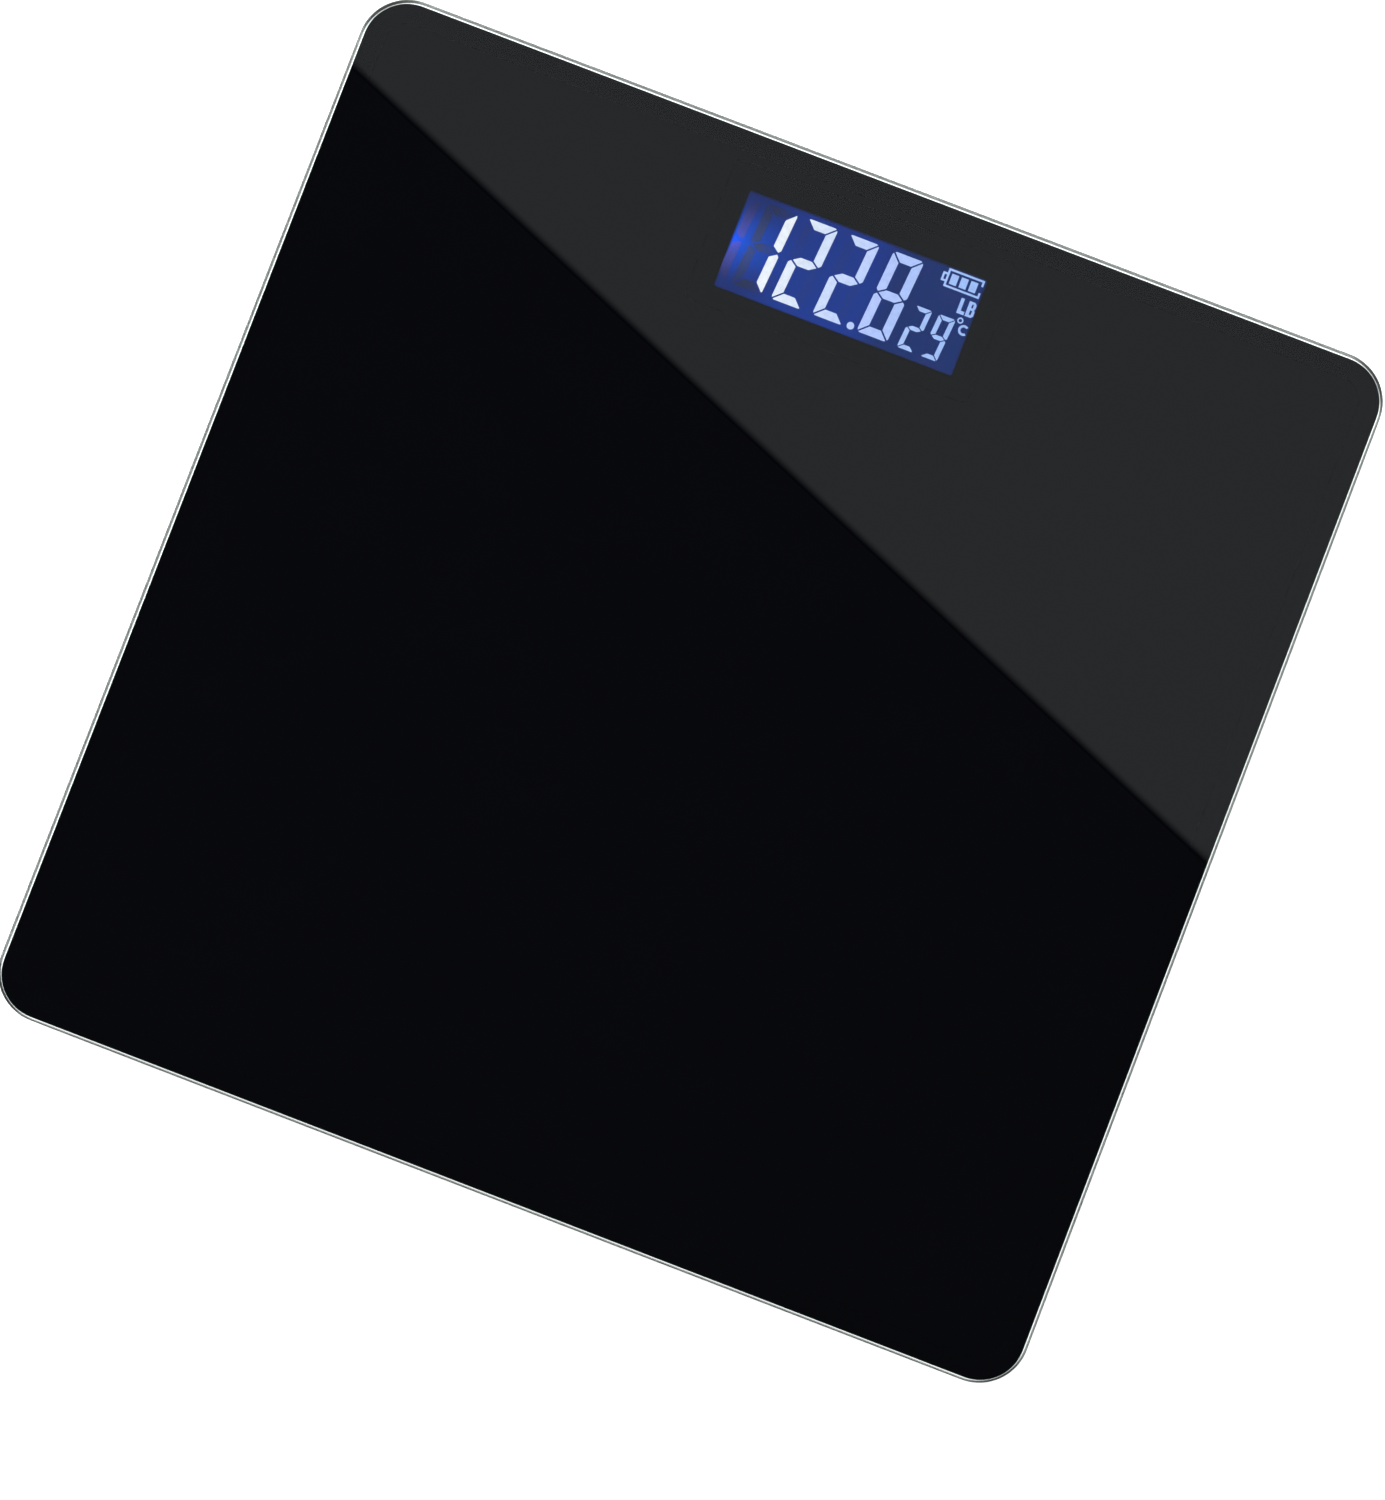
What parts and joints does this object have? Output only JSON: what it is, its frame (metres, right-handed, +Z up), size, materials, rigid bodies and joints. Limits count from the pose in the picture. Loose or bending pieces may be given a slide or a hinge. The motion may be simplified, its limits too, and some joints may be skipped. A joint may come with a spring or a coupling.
{
  "type": "digital bathroom scale",
  "caption": "Flat square digital bathroom scale: glass platform with a backlit display window, shallow plastic base, load-cell feet, battery door and unit button.",
  "frame": {"origin": "on the floor under the middle of the glass platform", "axes": "+Z up, +Y towards the display end, +X to the right of a person standing on the platform and facing the display"},
  "size_m": [0.28, 0.28, 0.024],
  "materials": {
    "glass": "6 mm tempered float glass, polished edge",
    "black_print": "black ink fired on the back of the glass",
    "window_film": "smoked see-through print",
    "foam_tape": "double-sided foam tape",
    "base_plastic": "moulded ABS, fine spark texture",
    "label": "blank silver film label",
    "foot_plastic": "moulded ABS, smooth",
    "pad_rubber": "soft anti-slip rubber",
    "spring_steel": "nickel-plated spring steel",
    "gauge_silicone": "white silicone over a foil gauge",
    "holder_plastic": "natural ABS",
    "wire_insulation": "PVC insulated leads",
    "screw_steel": "zinc-plated",
    "board": "green solder resist on glass epoxy",
    "chip_epoxy": "black potting epoxy",
    "components": "chip resistors and capacitors",
    "sensor_epoxy": "epoxy bead on two legs",
    "switch_body": "moulded nylon",
    "switch_plunger": "moulded nylon",
    "button_plastic": "moulded ABS, smooth",
    "white_film": "white polyester film",
    "guide_acrylic": "clear acrylic",
    "polarizer": "polarizing film",
    "lcd_glass": "thin coated display glass",
    "zebra_rubber": "striped conductive rubber",
    "gasket_foam": "black foam",
    "strip_board": "white solder resist",
    "led_package": "side-view light-emitting diodes",
    "frame_plastic": "white ABS",
    "battery_sleeve": "printed film sleeve, bare metal ends",
    "contact_nickel": "nickel-plated spring steel",
    "lead_red": "PVC insulated lead",
    "lead_black": "PVC insulated lead",
    "door_plastic": "moulded ABS, fine spark texture"
  },
  "bodies": {
    "scale": {"glass_platform": "glass", "back_print": "black_print", "display_window": "window_film", "adhesive_tape": "foam_tape", "adhesive_pads": "foam_tape", "base_shell": "base_plastic", "rating_label": "label", "foot_front_left": "foot_plastic", "foot_front_right": "foot_plastic", "foot_rear_right": "foot_plastic", "foot_rear_left": "foot_plastic", "foot_pad_front_left": "pad_rubber", "foot_pad_front_right": "pad_rubber", "foot_pad_rear_right": "pad_rubber", "foot_pad_rear_left": "pad_rubber", "load_cell_front_left": "spring_steel", "load_cell_front_right": "spring_steel", "load_cell_rear_right": "spring_steel", "load_cell_rear_left": "spring_steel", "strain_gauge_front_left": "gauge_silicone", "strain_gauge_front_right": "gauge_silicone", "strain_gauge_rear_right": "gauge_silicone", "strain_gauge_rear_left": "gauge_silicone", "cell_holder_front_left": "holder_plastic", "cell_holder_front_right": "holder_plastic", "cell_holder_rear_right": "holder_plastic", "cell_holder_rear_left": "holder_plastic", "cell_wires_front_left": "wire_insulation", "cell_wires_front_right": "wire_insulation", "cell_wires_rear_right": "wire_insulation", "cell_wires_rear_left": "wire_insulation", "holder_screws": "screw_steel", "board_screws": "screw_steel", "main_board": "board", "chip_blob": "chip_epoxy", "board_components": "components", "temperature_sensor": "sensor_epoxy", "tact_switch": "switch_body", "reflector_sheet": "white_film", "light_guide": "guide_acrylic", "diffuser_sheet": "white_film", "polarizer_rear": "polarizer", "polarizer_front": "polarizer", "lcd_glass_rear": "lcd_glass", "lcd_glass_front": "lcd_glass", "zebra_connector": "zebra_rubber", "display_gasket": "gasket_foam", "backlight_strip": "strip_board", "backlight_leds": "led_package", "display_frame": "frame_plastic", "battery_front": "battery_sleeve", "battery_rear": "battery_sleeve", "battery_bridge": "contact_nickel", "battery_contact_positive": "contact_nickel", "battery_contact_negative": "contact_nickel", "battery_lead_red": "lead_red", "battery_lead_black": "lead_black"},
    "unit_button": {"unit_button": "button_plastic", "switch_plunger": "switch_plunger"},
    "battery_door": {"battery_door": "door_plastic"}
  },
  "joints": [
    {"name": "unit_button_press", "type": "slide", "parent": "scale", "child": "unit_button", "axis": [0, 0, 1], "range_m": [0, 0.0006], "stiffness_N_per_m": 600, "springref_m": -0.0005},
    {"name": "battery_door_hinge", "type": "hinge", "parent": "scale", "child": "battery_door", "pos_m": [0, 0.0496, 0.0035], "axis": [-1, 0, 0], "range_deg": [0, 70]}
  ]
}
